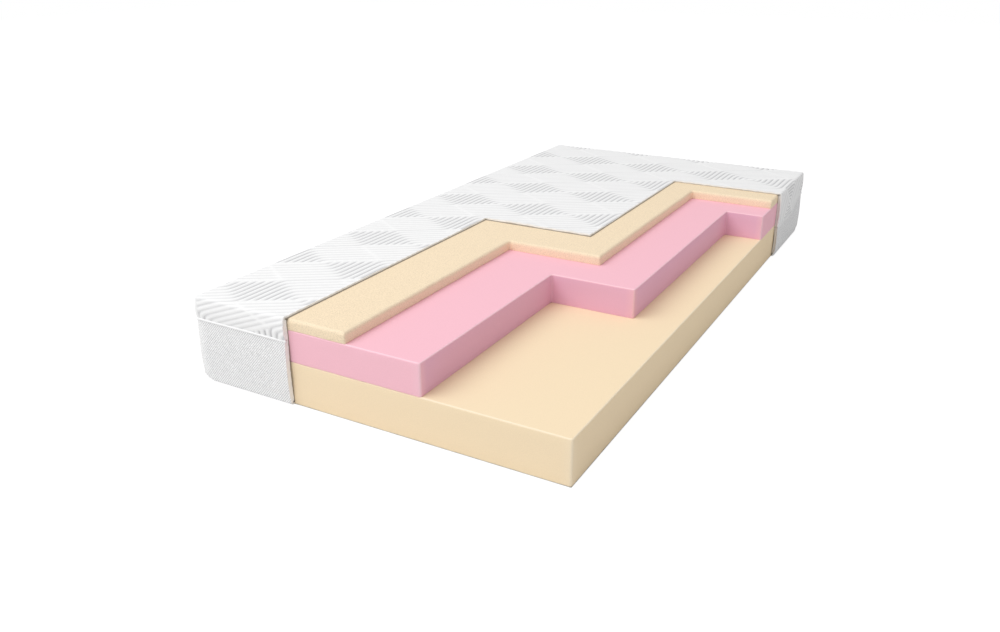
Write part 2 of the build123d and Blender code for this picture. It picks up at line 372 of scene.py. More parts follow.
class Surface:
    """Procedural material whose texture is measured in metres on the piece."""

    def __init__(self, name, roughness, **sockets):
        self.material = bpy.data.materials.new(name)
        self.material.use_nodes = True
        self.tree = self.material.node_tree
        self.shader = self.tree.nodes["Principled BSDF"]
        self.shader.inputs["Roughness"].default_value = roughness
        for socket, value in sockets.items():
            self.shader.inputs[socket.replace("_", " ")].default_value = value
        self.place = self.node("ShaderNodeTexCoord").outputs["Object"]
        self.height = None

    def node(self, kind, **settings):
        """New shader node with some settings."""
        made = self.tree.nodes.new(kind)
        for setting, value in settings.items():
            setattr(made, setting, value)
        return made

    def link(self, output, target):
        """Joins an output to an input."""
        self.tree.links.new(output, target)

    def noise(self, size, detail=3.0, stretch=(1, 1, 1)):
        """Noise whose features are about one size across."""
        mapping = self.node("ShaderNodeMapping")
        mapping.inputs["Scale"].default_value = stretch
        self.link(self.place, mapping.inputs["Vector"])
        texture = self.node("ShaderNodeTexNoise")
        texture.inputs["Scale"].default_value = 1 / size
        texture.inputs["Detail"].default_value = detail
        self.link(mapping.outputs["Vector"], texture.inputs["Vector"])
        return texture.outputs["Fac"]

    def cells(self, size):
        """Distance to the middle of the nearest foam cell."""
        texture = self.node("ShaderNodeTexVoronoi")
        texture.inputs["Scale"].default_value = 1 / size
        self.link(self.place, texture.inputs["Vector"])
        return texture.outputs["Distance"]

    def relief(self):
        """Amount kept with the mesh: the share of the full height of ribs or lines, or where painted
        shade and highlights go.
        """
        return self.node("ShaderNodeAttribute", attribute_name="relief").outputs["Fac"]

    def ramp(self, amount, stops):
        """Colour that follows an amount through stops of place and colour."""
        made = self.node("ShaderNodeValToRGB")
        elements = made.color_ramp.elements
        while len(elements) < len(stops):
            elements.new(0.5)
        for element, (place, shade) in zip(elements, stops):
            element.position = place
            element.color = shade
        self.link(amount, made.inputs["Fac"])
        return made.outputs["Color"]

    def multiply(self, first, second):
        """Product of two colours."""
        made = self.node("ShaderNodeMix", data_type="RGBA", blend_type="MULTIPLY")
        made.inputs["Factor"].default_value = 1
        colours = [socket for socket in made.inputs if socket.type == "RGBA"]
        self.link(first, colours[0])
        self.link(second, colours[1])
        return next(socket for socket in made.outputs if socket.type == "RGBA")

    def paint(self, output):
        """Takes the colour from an output."""
        self.link(output, self.shader.inputs["Base Color"])

    def gloss(self, output):
        """Takes the roughness from an output."""
        self.link(output, self.shader.inputs["Roughness"])

    def bump(self, height, distance):
        """Adds relief of the given height in metres, over the relief so far."""
        made = self.node("ShaderNodeBump")
        made.inputs["Distance"].default_value = distance
        made.inputs["Strength"].default_value = 1
        self.link(height, made.inputs["Height"])
        if self.height is not None:
            self.link(self.height, made.inputs["Normal"])
        self.height = made.outputs["Normal"]
        self.link(self.height, self.shader.inputs["Normal"])


def foam_material(name, edge, skin, cut, cell, pore, fleck, bump):
    """Matt foam with open cells, with a painted highlight along its edges and a cut-face colour that
    the callers use to paint shade on the middle slab and light on the top slab.
    """
    foam = Surface(name, 0.95, Specular_IOR_Level=0.15)
    shade = foam.ramp(foam.relief(), [(0.0, edge), (0.5, skin), (1.0, cut)])
    grain = foam.noise(cell, detail=4.0)
    pores = foam.ramp(foam.cells(cell), [(0.1, grey(pore)), (0.4, grey(1))])
    tone = foam.ramp(grain, [(0.35, grey(1 - fleck)), (0.65, grey(1 + fleck))])
    foam.paint(foam.multiply(foam.multiply(shade, pores), tone))
    foam.bump(grain, bump)
    return foam.material


def knit_material():
    """White double knit: fine loops, soft sheen, and painted shade that greys its grooves and rib
    flanks.
    """
    knit = Surface("knit", 0.9, Sheen_Weight=0.3, Sheen_Roughness=0.3, Specular_IOR_Level=0.2)
    # Painted shade: the colour goes from grey in the grooves through lighter grey on the flanks to
    # white on the rib crests.
    groove = (0.50, 0.50, 0.51, 1)
    painted_flank_shade = (0.79, 0.79, 0.795, 1)
    tone = knit.ramp(knit.relief(), [(0.0, groove), (0.5, painted_flank_shade), (1.0, grey(0.96))])
    loops = knit.noise(0.0012, detail=2.0, stretch=(1, 0.6, 0.6))
    fleck = knit.ramp(loops, [(0.3, grey(0.96)), (0.65, grey(1.02))])
    knit.paint(knit.multiply(tone, fleck))
    knit.bump(loops, distance=0.0003)
    return knit.material


def twill_material():
    """Light grey twill with fine flecked yarn."""
    twill = Surface("twill", 0.85, Sheen_Weight=0.1, Sheen_Roughness=0.5, Specular_IOR_Level=0.25)
    tone = twill.ramp(twill.relief(), [(0.1, (0.64, 0.64, 0.65, 1)), (0.6, grey(0.97))])
    yarn = twill.noise(0.0028, detail=2.0)
    fleck = twill.ramp(yarn, [(0.3, grey(0.82)), (0.65, grey(1.06))])
    twill.paint(twill.multiply(tone, fleck))
    twill.bump(yarn, distance=0.0003)
    return twill.material


def wadding_material():
    """Loose white fibre whose inner side is grey: partly a backing, partly painted shade of the gap
    against the foam at the cut edges.
    """
    wadding = Surface("wadding", 1.0, Specular_IOR_Level=0.1)
    fibre = wadding.noise(0.0014, detail=5.0, stretch=(1, 1, 0.35))
    white = wadding.ramp(fibre, [(0.3, colour(246, 241, 237)), (0.7, colour(254, 252, 249))])
    # Painted shade: grey on the inner side and on the inner share of each cut rim.
    backing_and_shade = wadding.ramp(wadding.relief(), [(0.15, colour(165, 156, 144)), (0.25, grey(1))])
    wadding.paint(wadding.multiply(white, backing_and_shade))
    wadding.bump(fibre, distance=0.0008)
    return wadding.material


def cloth_material(name, shade, grain_size):
    """Plain woven cloth."""
    cloth = Surface(name, 0.85, Specular_IOR_Level=0.25)
    weave = cloth.noise(grain_size, detail=2.0)
    low = (*(part * 0.9 for part in shade[:3]), 1)
    cloth.paint(cloth.ramp(weave, [(0.3, low), (0.7, shade)]))
    cloth.bump(weave, distance=grain_size / 4)
    return cloth.material


def coil_material():
    """Smooth white nylon."""
    coil = Surface("zip_coil", 0.4, Specular_IOR_Level=0.5)
    shade = coil.noise(0.01)
    coil.paint(coil.ramp(shade, [(0.3, colour(226, 226, 226)), (0.7, colour(238, 238, 238))]))
    return coil.material


def metal_material():
    """Nickel-plated die casting with faint wear."""
    metal = Surface("zip_metal", 0.3, Metallic=1.0)
    wear = metal.noise(0.003, detail=4.0)
    metal.paint(metal.ramp(wear, [(0.3, colour(196, 196, 198)), (0.7, colour(222, 222, 222))]))
    metal.gloss(metal.ramp(wear, [(0.3, grey(0.42)), (0.7, grey(0.24))]))
    metal.bump(wear, distance=0.00005)
    return metal.material


# Foam core

def kept_outline(cut, half_x, half_y):
    """Corners of what is left of a layer after its stepped cut, counter-clockwise."""
    near_x, front_y, side_x, right_y = cut
    return [
        (-half_x, -half_y),
        (near_x, -half_y),
        (near_x, front_y),
        (side_x, front_y),
        (side_x, right_y),
        (half_x, right_y),
        (half_x, half_y),
        (-half_x, half_y),
    ]


def block_outline(half_x, half_y):
    """Corners of a whole layer, counter-clockwise."""
    return [(-half_x, -half_y), (half_x, -half_y), (half_x, half_y), (-half_x, half_y)]


def rounded_ring(corners, radius, inset, arc_steps=8, spacing=0.02):
    """Points round an outline with rounded corners, moved in by an inset."""
    corners = np.array(corners)
    arrive = unit(corners - np.roll(corners, 1, axis=0))
    leave = np.roll(arrive, -1, axis=0)
    turns = np.linspace(0, math.pi / 2, arc_steps + 1)
    arcs = []
    for corner, before, after in zip(corners, arrive, leave):
        side = np.sign(before[0] * after[1] - before[1] * after[0])
        bend = max(radius, inset + SHARPEST) if side > 0 else radius
        middle = corner + bend * (after - before)
        outward = side * np.array((before[1], -before[0]))
        reach = bend - side * inset
        round_it = np.outer(np.cos(turns), outward) + np.outer(np.sin(turns), before)
        arcs.append(middle + reach * round_it)
    points = []
    for index, arc in enumerate(arcs):
        following = arcs[(index + 1) % len(arcs)][0]
        gap = corners[(index + 1) % len(arcs)] - corners[index]
        steps = max(2, int(np.abs(gap).sum() / spacing))
        share = np.linspace(0, 1, steps + 1)[1:-1, None]
        points.extend((arc, arc[-1] + share * (following - arc[-1])))
    return np.concatenate(points)


def slab_mesh(corners, bottom, top, corner_radius, edge, unevenness):
    """Foam slab with rounded edges, built ring by ring from the underside to the top."""
    lean = np.linspace(0, math.pi / 2, EDGE_STEPS)
    wall = np.linspace(bottom + edge, top - edge, WALL_STEPS)[1:-1]
    profile = [(2 * UNDER_EDGE, bottom)]
    profile += [(UNDER_EDGE * (1 - math.sin(a)), bottom + UNDER_EDGE * (1 - math.cos(a))) for a in lean]
    profile += [(0.0, z) for z in wall]
    profile += [(edge * (1 - math.cos(a)), top - edge * (1 - math.sin(a))) for a in lean]
    profile += [(share * edge, top) for share in TOP_RINGS]
    rings = [at_height(rounded_ring(corners, corner_radius, inset), z) for inset, z in profile]
    count = len(rings[0])
    points = np.concatenate(rings)
    plain = rounded_ring(corners, corner_radius, 0)
    wider = rounded_ring(corners, corner_radius, -SHARPEST)
    outward = np.tile((wider - plain) / SHARPEST, (len(rings), 1))
    wall_share = np.repeat([max(0.0, 1 - inset / edge) for inset, _ in profile], count)
    waves = ripple(points, UNEVEN_LENGTH) + FINE_UNEVEN_SHARE * ripple(points, FINE_UNEVEN_LENGTH)
    points[:, :2] += outward * (unevenness * wall_share * (waves - 1))[:, None]
    return points, skin_faces(len(rings), count), wall_share


def foam_relief(points, wall_share, outline, cut, top, corner, edge):
    """Where a slab's painted colours go: 0 for the painted highlight along its outer edges, a half on
    its faces, and 1 on the faces of a stepped cut, which get painted shade on the middle slab and
    painted light on the top slab.
    """
    relief = np.full(len(points), 0.5)
    corners = np.array(outline)
    if cut:
        past_end = np.minimum(CORE_X - np.abs(points[:, 0]), CORE_Y - np.abs(points[:, 1]))
        relief += wall_share * smooth(past_end / (EDGE_REACH * corner)) / 2
        corners = np.delete(corners, INNER_CORNERS, axis=0)
    gaps = np.linalg.norm(points[:, None, :2] - corners, axis=2).min(axis=1)
    upright = smooth(1 - gaps / (EDGE_REACH * corner)) * wall_share
    drop = (top - points[:, 2]) / edge
    level = np.where(drop < 1, np.clip(4 * wall_share * (1 - wall_share), 0, 1), 0)
    return relief * (1 - np.maximum(upright, level))


def add_foam(name, node, cut, bottom, top, corner, edge, unevenness, material):
    """Foam slab, whole or with a stepped cut."""
    outline = kept_outline(cut, CORE_X, CORE_Y) if cut else block_outline(CORE_X, CORE_Y)
    points, faces, wall_share = slab_mesh(outline, bottom, top, corner, edge, unevenness)
    relief = foam_relief(points, wall_share, outline, cut, top, corner, edge)
    piece = new_piece(name, node, points, faces, material, relief)


def add_core():
    """Three foam slabs, each cut back further than the one below."""
    # Painted light and shade: pale colours along the slab edges and on the top slab's cut faces, and a
    # darker colour on the middle slab's cut faces.
    cream = colour(248, 227, 193)
    cream_edge_highlight = colour(253, 237, 210)
    rose = colour(249, 195, 208)
    rose_edge_highlight = colour(254, 212, 223)
    rose_cut_shade = colour(236, 184, 208)
    ivory = colour(247, 227, 196)
    ivory_edge_and_cut_light = colour(250, 231, 201)
    firm_cells = {"cell": 0.0016, "pore": 0.97, "fleck": 0.02, "bump": 0.0003}
    soft_cells = {"cell": 0.0036, "pore": 0.84, "fleck": 0.06, "bump": 0.0012}
    firm = (FIRM_CORNER, FIRM_EDGE, FIRM_UNEVEN)
    soft = (SOFT_CORNER, SOFT_EDGE, SOFT_UNEVEN)
    base = foam_material("base_foam", cream_edge_highlight, cream, cream, **firm_cells)
    middle = foam_material("middle_foam", rose_edge_highlight, rose, rose_cut_shade, **firm_cells)
    memory = foam_material("top_foam", ivory_edge_and_cut_light, ivory, ivory_edge_and_cut_light, **soft_cells)
    add_foam("foam_base", "base_foam", None, CORE_BOTTOM, BASE_TOP, *firm, base)
    add_foam("foam_middle", "middle_foam", MIDDLE_CUT, BASE_TOP, MIDDLE_TOP, *firm, middle)
    add_foam("foam_top", "top_foam", TOP_CUT, MIDDLE_TOP, CORE_TOP, *soft, memory)


# Cover, laid out flat and folded over the block

def seam_height(y):
    """Height of the seam along a long side, with a double bend up to each end."""
    run = KNIT_Y - SEAM_LEVEL_HALF
    rise = np.where(y < 0, SEAM_NEAR, SEAM_FAR) - SEAM_SIDE
    radius = (run**2 + rise**2) / (4 * rise)
    along = np.clip(np.abs(y) - SEAM_LEVEL_HALF, 0, run)
    lower = np.minimum(along, run / 2)
    upper = np.minimum(run - along, run / 2)
    start = radius - np.sqrt(radius**2 - lower**2)
    end = rise - radius + np.sqrt(radius**2 - upper**2)
    return SEAM_SIDE + np.where(along < run / 2, start, end)


def opening(x, y, gap=SLOT):
    """Half height of a gap with pointed ends along the zip, and of the seam elsewhere."""
    half_length, half_height = gap
    height = half_height * smooth((half_length - np.abs(y)) / GAP_END)
    return np.where(x < -FLAT_X, np.maximum(height, SEAM_HALF), SEAM_HALF)


def on_level(flat):
    """Nearest places on the level part of the top."""
    return np.clip(flat, (-FLAT_X, -FLAT_Y), (FLAT_X, FLAT_Y))


def fold(flat, depth):
    """Places of flat cloth points on the rounded block, some depth below its face."""
    level = on_level(flat)
    past = flat - level
    drop = np.abs(past).sum(axis=1)
    side = np.sign(past)
    lean = np.minimum(drop / COVER_EDGE, math.pi / 2)
    normal = np.column_stack((side * np.sin(lean)[:, None], np.cos(lean)))
    places = at_height(level, COVER_TOP - COVER_EDGE)
    places += normal * (COVER_EDGE - depth)[:, None]
    places[:, 2] -= np.maximum(drop - EDGE_ARC, 0)
    return places


def cloth_drop(height):
    """Length of cloth from the edge of the top down to a height."""
    return EDGE_ARC + COVER_TOP - COVER_EDGE - height


def hem_drop(flat, gap=SLOT):
    """Length of cloth from the edge of the top down to the hem."""
    level = on_level(flat)
    at_end = np.abs(flat[:, 1]) > FLAT_Y
    seam = np.where(at_end, np.where(flat[:, 1] < 0, SEAM_NEAR, SEAM_FAR), seam_height(level[:, 1]))
    return cloth_drop(seam + opening(*flat.T, gap))


def below_hem(flat, gap=SLOT):
    """Which cloth points lie below the hem, and their places on it."""
    level = on_level(flat)
    past = flat - level
    reach = hem_drop(flat, gap)
    out = np.abs(past).sum(axis=1) > reach
    return out, level + np.sign(past) * reach[:, None]


def corner_squares(flat):
    """Which cloth points lie beside both a side and an end, and the nearest places that don't."""
    level = on_level(flat)
    past = np.abs(flat - level)
    out = (past > 0).all(axis=1)
    nearer_x = past[:, 0] < past[:, 1]
    edge_x = np.where(nearer_x, level[:, 0], flat[:, 0])
    edge_y = np.where(nearer_x, flat[:, 1], level[:, 1])
    return out, np.column_stack((edge_x, edge_y))


def nearest_on_cut(flat, cut):
    """Nearest place on the line of a stepped cut, and the distance to it."""
    far = 2 * KNIT_Y
    stops = kept_outline(cut, far, far)[CUT_CORNERS]
    places = np.stack([np.clip(flat, low, high) for low, high in zip(stops[:-1], stops[1:])])
    distances = np.linalg.norm(places - flat, axis=2)
    nearest = distances.argmin(axis=0)
    row = np.arange(len(flat))
    return places[nearest, row], distances[nearest, row]


def in_cut(flat, cut):
    """Which cloth points the stepped cut takes away."""
    near_x, front_y, side_x, right_y = cut
    x, y = flat.T
    return ((x > near_x) & (y < front_y)) | ((x > side_x) & (y < right_y))


def moved_back(amount, side_amount=0):
    """Stepped cut of the cover moved back, by an amount of its own at the right side."""
    near_x, front_y, side_x, right_y = COVER_CUT
    return near_x - amount, front_y + amount, side_x - amount, right_y + side_amount


def cut_away(flat):
    """Which knit points are cut away, and the nearest places on the cut."""
    cut = moved_back(CUT_SLANT)
    return in_cut(flat, cut), nearest_on_cut(flat, cut)[0]


def draw_in(values, level, amount):
    """Scales distances beyond the level part of the cloth."""
    inside = np.clip(values, -level, level)
    return inside + (values - inside) * amount


def rib_lattice():
    """Flat cloth points along the ribs, and the triangles between them."""
    step = 1 / (FIELD_RIBS * RIB_SAMPLES)
    reach = np.array((FLAT_X, FLAT_Y)) + (EDGE_ARC + COVER_TOP - SEAM_SIDE) / SIDE_DRAW
    count = int((reach + np.abs(RIB_ORIGIN)) @ (1 / FIELD_X, 1 / FIELD_Y) / 2 / step) + 2
    ribs = np.arange(-count, count + 1)
    first, second = grid_points(ribs, ribs).T
    x = RIB_ORIGIN[0] + FIELD_X * step * (first + second)
    y = RIB_ORIGIN[1] + FIELD_Y * step * (first - second)
    quads = grid_faces(len(ribs), len(ribs))
    inside = (np.abs(x) < reach[0]) & (np.abs(y) < reach[1])
    quads = quads[inside[quads].all(axis=1)]
    lower = quads[:, (0, 3, 1)]
    upper = quads[:, (1, 3, 2)]
    flat = np.column_stack((draw_in(x, FLAT_X, SIDE_DRAW), draw_in(y, FLAT_Y, SIDE_DRAW)))
    return compact(flat, np.concatenate((lower, upper)))


def rib_groove(flat):
    """Depth of the grooves between ribs, from 0 on a rib to 1 in a groove."""
    across = (draw_in(flat[:, 0], FLAT_X, 1 / SIDE_DRAW) - RIB_ORIGIN[0]) / FIELD_X
    along = (draw_in(flat[:, 1], FLAT_Y, 1 / SIDE_DRAW) - RIB_ORIGIN[1]) / FIELD_Y
    band = np.round((across - along) / 2)
    beside = (across - along) / 2 - band
    field = (across + along) / 2 - band
    field = field - FIELD_CYCLE * np.round(field / FIELD_CYCLE)
    start = np.hypot(field + 0.5, RIB_BEND)
    end = np.hypot(field - 0.5, RIB_BEND)
    turned = (start - end) / 2
    lengthwise = ((field + 0.5) / start - (field - 0.5) / end) / 2
    wave = np.cos(2 * math.pi * FIELD_RIBS * (beside + turned))
    gap = np.exp(-(((FIELD_CYCLE / 2 - np.abs(field)) / FIELD_GAP) ** 2))
    by_lengthwise = smooth((1 - np.abs(np.sign(beside) * field - 0.5)) / FIELD_EDGE)
    band_edge = smooth(1 - (0.5 - np.abs(beside)) / FIELD_SEAM)
    inside = np.array((FLAT_X, FLAT_Y)) - np.abs(flat)
    upright = smooth(-inside.min(axis=1) / EDGE_ARC)
    slanting = SLANTING_DEPTH + (SLANTING_UPRIGHT_DEPTH - SLANTING_DEPTH) * upright
    slanting = np.maximum(slanting, BAND_EDGE_DEPTH * band_edge * (1 - by_lengthwise))
    groove = ((1 + wave) / 2) ** GROOVE_POWER * (slanting + (1 - slanting) * lengthwise)
    groove = groove * (1 - GAP_FILL * gap) * (1 - SEAM_FILL * by_lengthwise * band_edge)
    plain = 1 - smooth(np.hypot(*np.maximum(inside, 0).T) / CORNER_FADE)
    return groove * (1 - plain) + CORNER_GROOVE * plain


def lift(flat):
    """How far the cut edge of the cover stands off the foam."""
    distance = nearest_on_cut(flat, COVER_CUT)[1]
    near = smooth((NEAR_REACH - KNIT_Y - flat[:, 1]) / NEAR_REACH)
    front = smooth(1 - np.abs(flat[:, 1] - COVER_CUT[1]) / FRONT_REACH)
    wave = 1 + LIFT_WAVE * ripple(np.column_stack((flat, flat[:, 0])), LIFT_WAVE_LENGTH)
    full = (LIFT + LIFT_FRONT * front) * wave + LIFT_NEAR * near
    return full * np.exp(-((distance / LIFT_REACH) ** 2))


def bulge(drop, reach):
    """How far the sides of the knit swell out, at some drop of cloth from the edge of the top."""
    return KNIT_BULGE * np.sin(math.pi * np.clip((drop - EDGE_ARC) / (reach - EDGE_ARC), 0, 1))


def swell(flat):
    """How far the knit stands out, by its bulge and at its cut edge."""
    drop = np.abs(flat - on_level(flat)).sum(axis=1)
    return lift(flat) + bulge(drop, hem_drop(flat))


def knit_depth(flat):
    """Depth of the knit's face below the rounded block, with lower ribs on the long sides."""
    at_side = smooth((np.abs(flat[:, 0]) - FLAT_X) / EDGE_ARC)
    relief = RIB_RELIEF * (1 - (1 - LONG_SIDE_RELIEF) * at_side)
    return relief * rib_groove(flat) - swell(flat)


def hem_depth(x, y, thickness):
    """Depth of the edge of a cloth, which is folded back to the tape beside the zip."""
    half_length, half_height = SLOT
    turned = opening(x, y, (half_length + GAP_END, half_height)) / half_height
    return thickness + (KNIT_X + ZIP_FACE - thickness) * turned


def corner_patch(sign_x, sign_y, hem):
    """Plain rounded corner of the knit, between an end and a side, with its hem turned in."""
    turns = np.linspace(0, math.pi / 2, CORNER_STEPS)
    reach = cloth_drop(hem)
    drops = np.append(np.linspace(0, reach, CORNER_DROP_STEPS), reach)
    depths = RIB_RELIEF * CORNER_GROOVE - bulge(drops, reach)
    depths[-1] += KNIT
    turn, drop = np.meshgrid(turns, drops, indexing="ij")
    lean = np.minimum(drop / COVER_EDGE, math.pi / 2)
    plan_x = sign_x * np.sin(lean) * np.cos(turn) ** CORNER_POWER
    plan_y = sign_y * np.sin(lean) * np.sin(turn) ** CORNER_POWER
    normal = np.stack((plan_x, plan_y, np.cos(lean)), axis=-1)
    places = np.array((sign_x * FLAT_X, sign_y * FLAT_Y, COVER_TOP - COVER_EDGE))
    places = places + normal * (COVER_EDGE - depths)[None, :, None]
    places[..., 2] -= np.maximum(drop - EDGE_ARC, 0)
    return places.reshape(-1, 3), grid_faces(len(turns), len(drops), flip=sign_x * sign_y > 0)


def add_knit(material):
    """Ribbed knit over the top and part of the way down the sides."""
    flat, faces = rib_lattice()
    for outside in (below_hem, corner_squares, cut_away):
        flat, faces = trim(flat, faces, outside)
    depth = knit_depth(flat)
    points = fold(flat, depth)
    inner = fold(flat, depth + hem_depth(*flat.T, KNIT))
    patches = []
    for sign_x, sign_y, seam in ((-1, -1, SEAM_NEAR), (-1, 1, SEAM_FAR), (1, 1, SEAM_FAR)):
        patches.append(corner_patch(sign_x, sign_y, seam + SEAM_HALF))
    places, all_faces = hemmed(points, faces, inner, patches)
    relief = np.ones(len(places))
    # The groove share also paints shade into the grooves, through the knit's colour ramp.
    relief[: len(points)] = 1 - rib_groove(flat)
    piece = new_piece("cover_knit", "upper_knit", places, all_faces, material, relief)
    flat_area(flat, faces)


def shell_mesh(quads, outer, inner):
    """Closed shell between two surfaces with the same quads. Its relief is 1 outside and 0 inside."""
    rim = rim_faces(quads, outer, inner)
    outside = compact(outer, quads)
    inside = compact(inner, quads[:, ::-1])
    half = len(rim[0]) // 2
    relief = np.repeat((1.0, 0.0, 1.0, 0.0), (len(outside[0]), len(inside[0]), half, half))
    points, faces = merge([outside, inside, rim])
    return points, faces, relief


def lines_between(stops, spacing):
    """Grid lines through all stops, with even steps between them."""
    stops = sorted(stops)
    runs = []
    for low, high in zip(stops[:-1], stops[1:]):
        steps = max(1, round((high - low) / spacing))
        runs.append(np.linspace(low, high, steps, endpoint=False))
    return np.append(np.concatenate(runs), stops[-1])


def slant_rim(flat, cut):
    """Moves the points on a stepped cut back by the slant, except at the right side."""
    near_x, front_y, side_x, right_y = cut
    x, y = flat.T
    on_near = np.isclose(x, near_x) & (y <= front_y)
    on_side = np.isclose(x, side_x) & (y >= front_y) & (y <= right_y)
    on_front = np.isclose(y, front_y) & (x >= near_x) & (x <= side_x)
    return flat + CUT_SLANT * np.column_stack((-(on_near | on_side).astype(float), on_front))


def add_upper_wadding(material):
    """Loose wadding behind the knit, set back a little from the cut."""
    cut = moved_back(WADDING_RECESS, SIDE_RECESS)
    longest = cloth_drop(SEAM_SIDE)
    arc = np.linspace(0, EDGE_ARC, WADDING_ARC_STEPS)
    side_stops = [sign * (FLAT_X + step) for sign in (-1, 1) for step in (*arc, longest)]
    end_stops = [sign * (FLAT_Y + step) for sign in (-1, 1) for step in (*arc, longest)]
    x = lines_between(side_stops + [cut[0], cut[2]], WADDING_STEP)
    y = lines_between(end_stops + [cut[1], cut[3]], WADDING_STEP)
    flat = grid_points(x, y)
    faces = grid_faces(len(x), len(y))
    centre = flat[faces].mean(axis=1)
    faces = faces[~in_cut(centre, cut)]
    for outside in (partial(below_hem, gap=POCKET), corner_squares):
        flat, faces = trim(flat, faces, outside)
    upright = smooth(np.abs(flat - on_level(flat)).sum(axis=1) / EDGE_ARC)
    rim = np.exp(-nearest_on_cut(flat, cut)[1] / RIM_REACH)
    full = TOP_WADDING_DEPTH + (SIDE_WADDING_DEPTH - TOP_WADDING_DEPTH) * upright
    full += EDGE_FILL * 4 * upright * (1 - upright)
    uneven = RIM_UNEVEN * rim * ripple(fold(flat, full), RIM_WAVE)
    outer = fold(slant_rim(flat, cut), KNIT - uneven - swell(flat))
    inner = fold(flat, full + uneven)
    points, quads, relief = shell_mesh(faces, outer, inner)
    # Painted shade: widens the grey band on the cut rim of the top.
    relief[points[:, 2] > COVER_TOP - COVER_EDGE] *= TOP_CUT_SHADE
    # Painted shade: the right cut of the wadding is painted grey.
    relief[np.isclose(points[:, 1], cut[3])] = CUT_SHADE_TONE
    piece = new_piece("wadding_upper", "upper_wadding", points, quads, material, relief)


# Border round the sides, below the seam

class Walk:
    """Walk round the border in plan, from the near cut by way of the left side to the right cut."""

    def __init__(self, half_x, half_y, corner):
        near_x, right_y = COVER_CUT[0], COVER_CUT[3]
        self.corner = corner
        turns = [(-half_x, -half_y), (-half_x, half_y), (half_x, half_y)]
        stops = np.array([(near_x, -half_y), *turns, (half_x, right_y)])
        self.runs = []
        self.length = 0.0
        last = len(stops) - 2
        for index in range(len(stops) - 1):
            gap = stops[index + 1] - stops[index]
            ahead = gap / np.linalg.norm(gap)
            start = stops[index] + (ahead * corner if index > 0 else 0)
            size = np.linalg.norm(gap) - corner * ((index > 0) + (index < last))
            self.runs.append((self.length, start, ahead, size))
            self.length += size + (corner * math.pi / 2 if index < last else 0)

    def at(self, along):
        """Plan places, outward directions and distances to a corner arc, at lengths along the walk."""
        places = np.zeros((len(along), 2))
        outward = np.zeros((len(along), 2))
        clear = np.full(len(along), np.inf)
        for index, (begin, start, ahead, size) in enumerate(self.runs):
            left = np.array((-ahead[1], ahead[0]))
            here = along >= begin
            step = np.minimum(along - begin, size)
            turn = np.clip((along - begin - size) / self.corner, 0, math.pi / 2)
            middle = start + size * ahead - self.corner * left
            round_it = np.outer(np.sin(turn), ahead) + np.outer(np.cos(turn), left)
            on_run = start + np.outer(step, ahead)
            past = turn > 0
            places[here] = np.where(past[:, None], middle + self.corner * round_it, on_run)[here]
            outward[here] = round_it[here]
            before = step if index > 0 else np.inf
            after = size - step if index + 1 < len(self.runs) else np.inf
            gaps = np.minimum(before, after)
            clear[here] = np.where(past, 0.0, gaps)[here]
        return places, outward, clear


def border_profile(up):
    """Inset, height and lean of the border's face, at lengths of cloth from its tucked-in edge."""
    tuck = BOTTOM_TUCK - BOTTOM_EDGE
    lean = np.clip((up - tuck) / BOTTOM_EDGE, 0, math.pi / 2)
    inset = np.where(up < tuck, BOTTOM_TUCK - up, BOTTOM_EDGE * (1 - np.sin(lean)))
    height = BOTTOM_EDGE * (1 - np.cos(lean)) + np.maximum(up - BORDER_FOLD, 0)
    return inset, height, lean


def border_reach(walk, along, gap=SLOT):
    """Length of border cloth from its tucked-in edge up to the hem."""
    x, y = walk.at(along)[0].T
    return BORDER_FOLD + seam_height(y) - opening(x, y, gap) - BOTTOM_EDGE


def border_places(walk, cloth, depth):
    """Places of border cloth points, given as lengths along and up, some depth behind the face."""
    along, up = cloth.T
    places, outward, clear = walk.at(along)
    inset, height, lean = border_profile(up)
    up_share = np.clip((up - BORDER_FOLD) / (border_reach(walk, along) - BORDER_FOLD), 0, 1)
    inset = inset + depth * np.sin(lean) - BORDER_BULGE * np.sin(math.pi * up_share)
    inset = np.where(clear > 0, inset, np.minimum(inset, walk.corner))
    height = height + np.maximum(depth, 0) * np.cos(lean)
    low = smooth(1 - height / CORNER_TUCK_HEIGHT) * smooth(1 - clear / CORNER_TUCK_REACH)
    tucked = np.sign(places) * (CORNER_TUCK * low)[:, None] / math.sqrt(2)
    return at_height(places - outward * inset[:, None] - tucked, height)


def border_lift(cloth):
    """How far the near cut edge of the border stands off the foam, above its foot."""
    above_foot = smooth((cloth[:, 1] - BORDER_FOLD) / LIFT_REACH)
    return (LIFT + LIFT_NEAR) * above_foot * np.exp(-((cloth[:, 0] / LIFT_REACH) ** 2))


def trimmed_border(walk, cloth, faces, start, end, gap=SLOT):
    """Border cloth that ends at two lengths along the walk and at the hem."""
    def outside(points):
        along = np.clip(points[:, 0], start, end)
        edge = np.column_stack((along, np.minimum(points[:, 1], border_reach(walk, along, gap))))
        return (edge != points).any(axis=1), edge
    return trim(cloth, faces, outside)


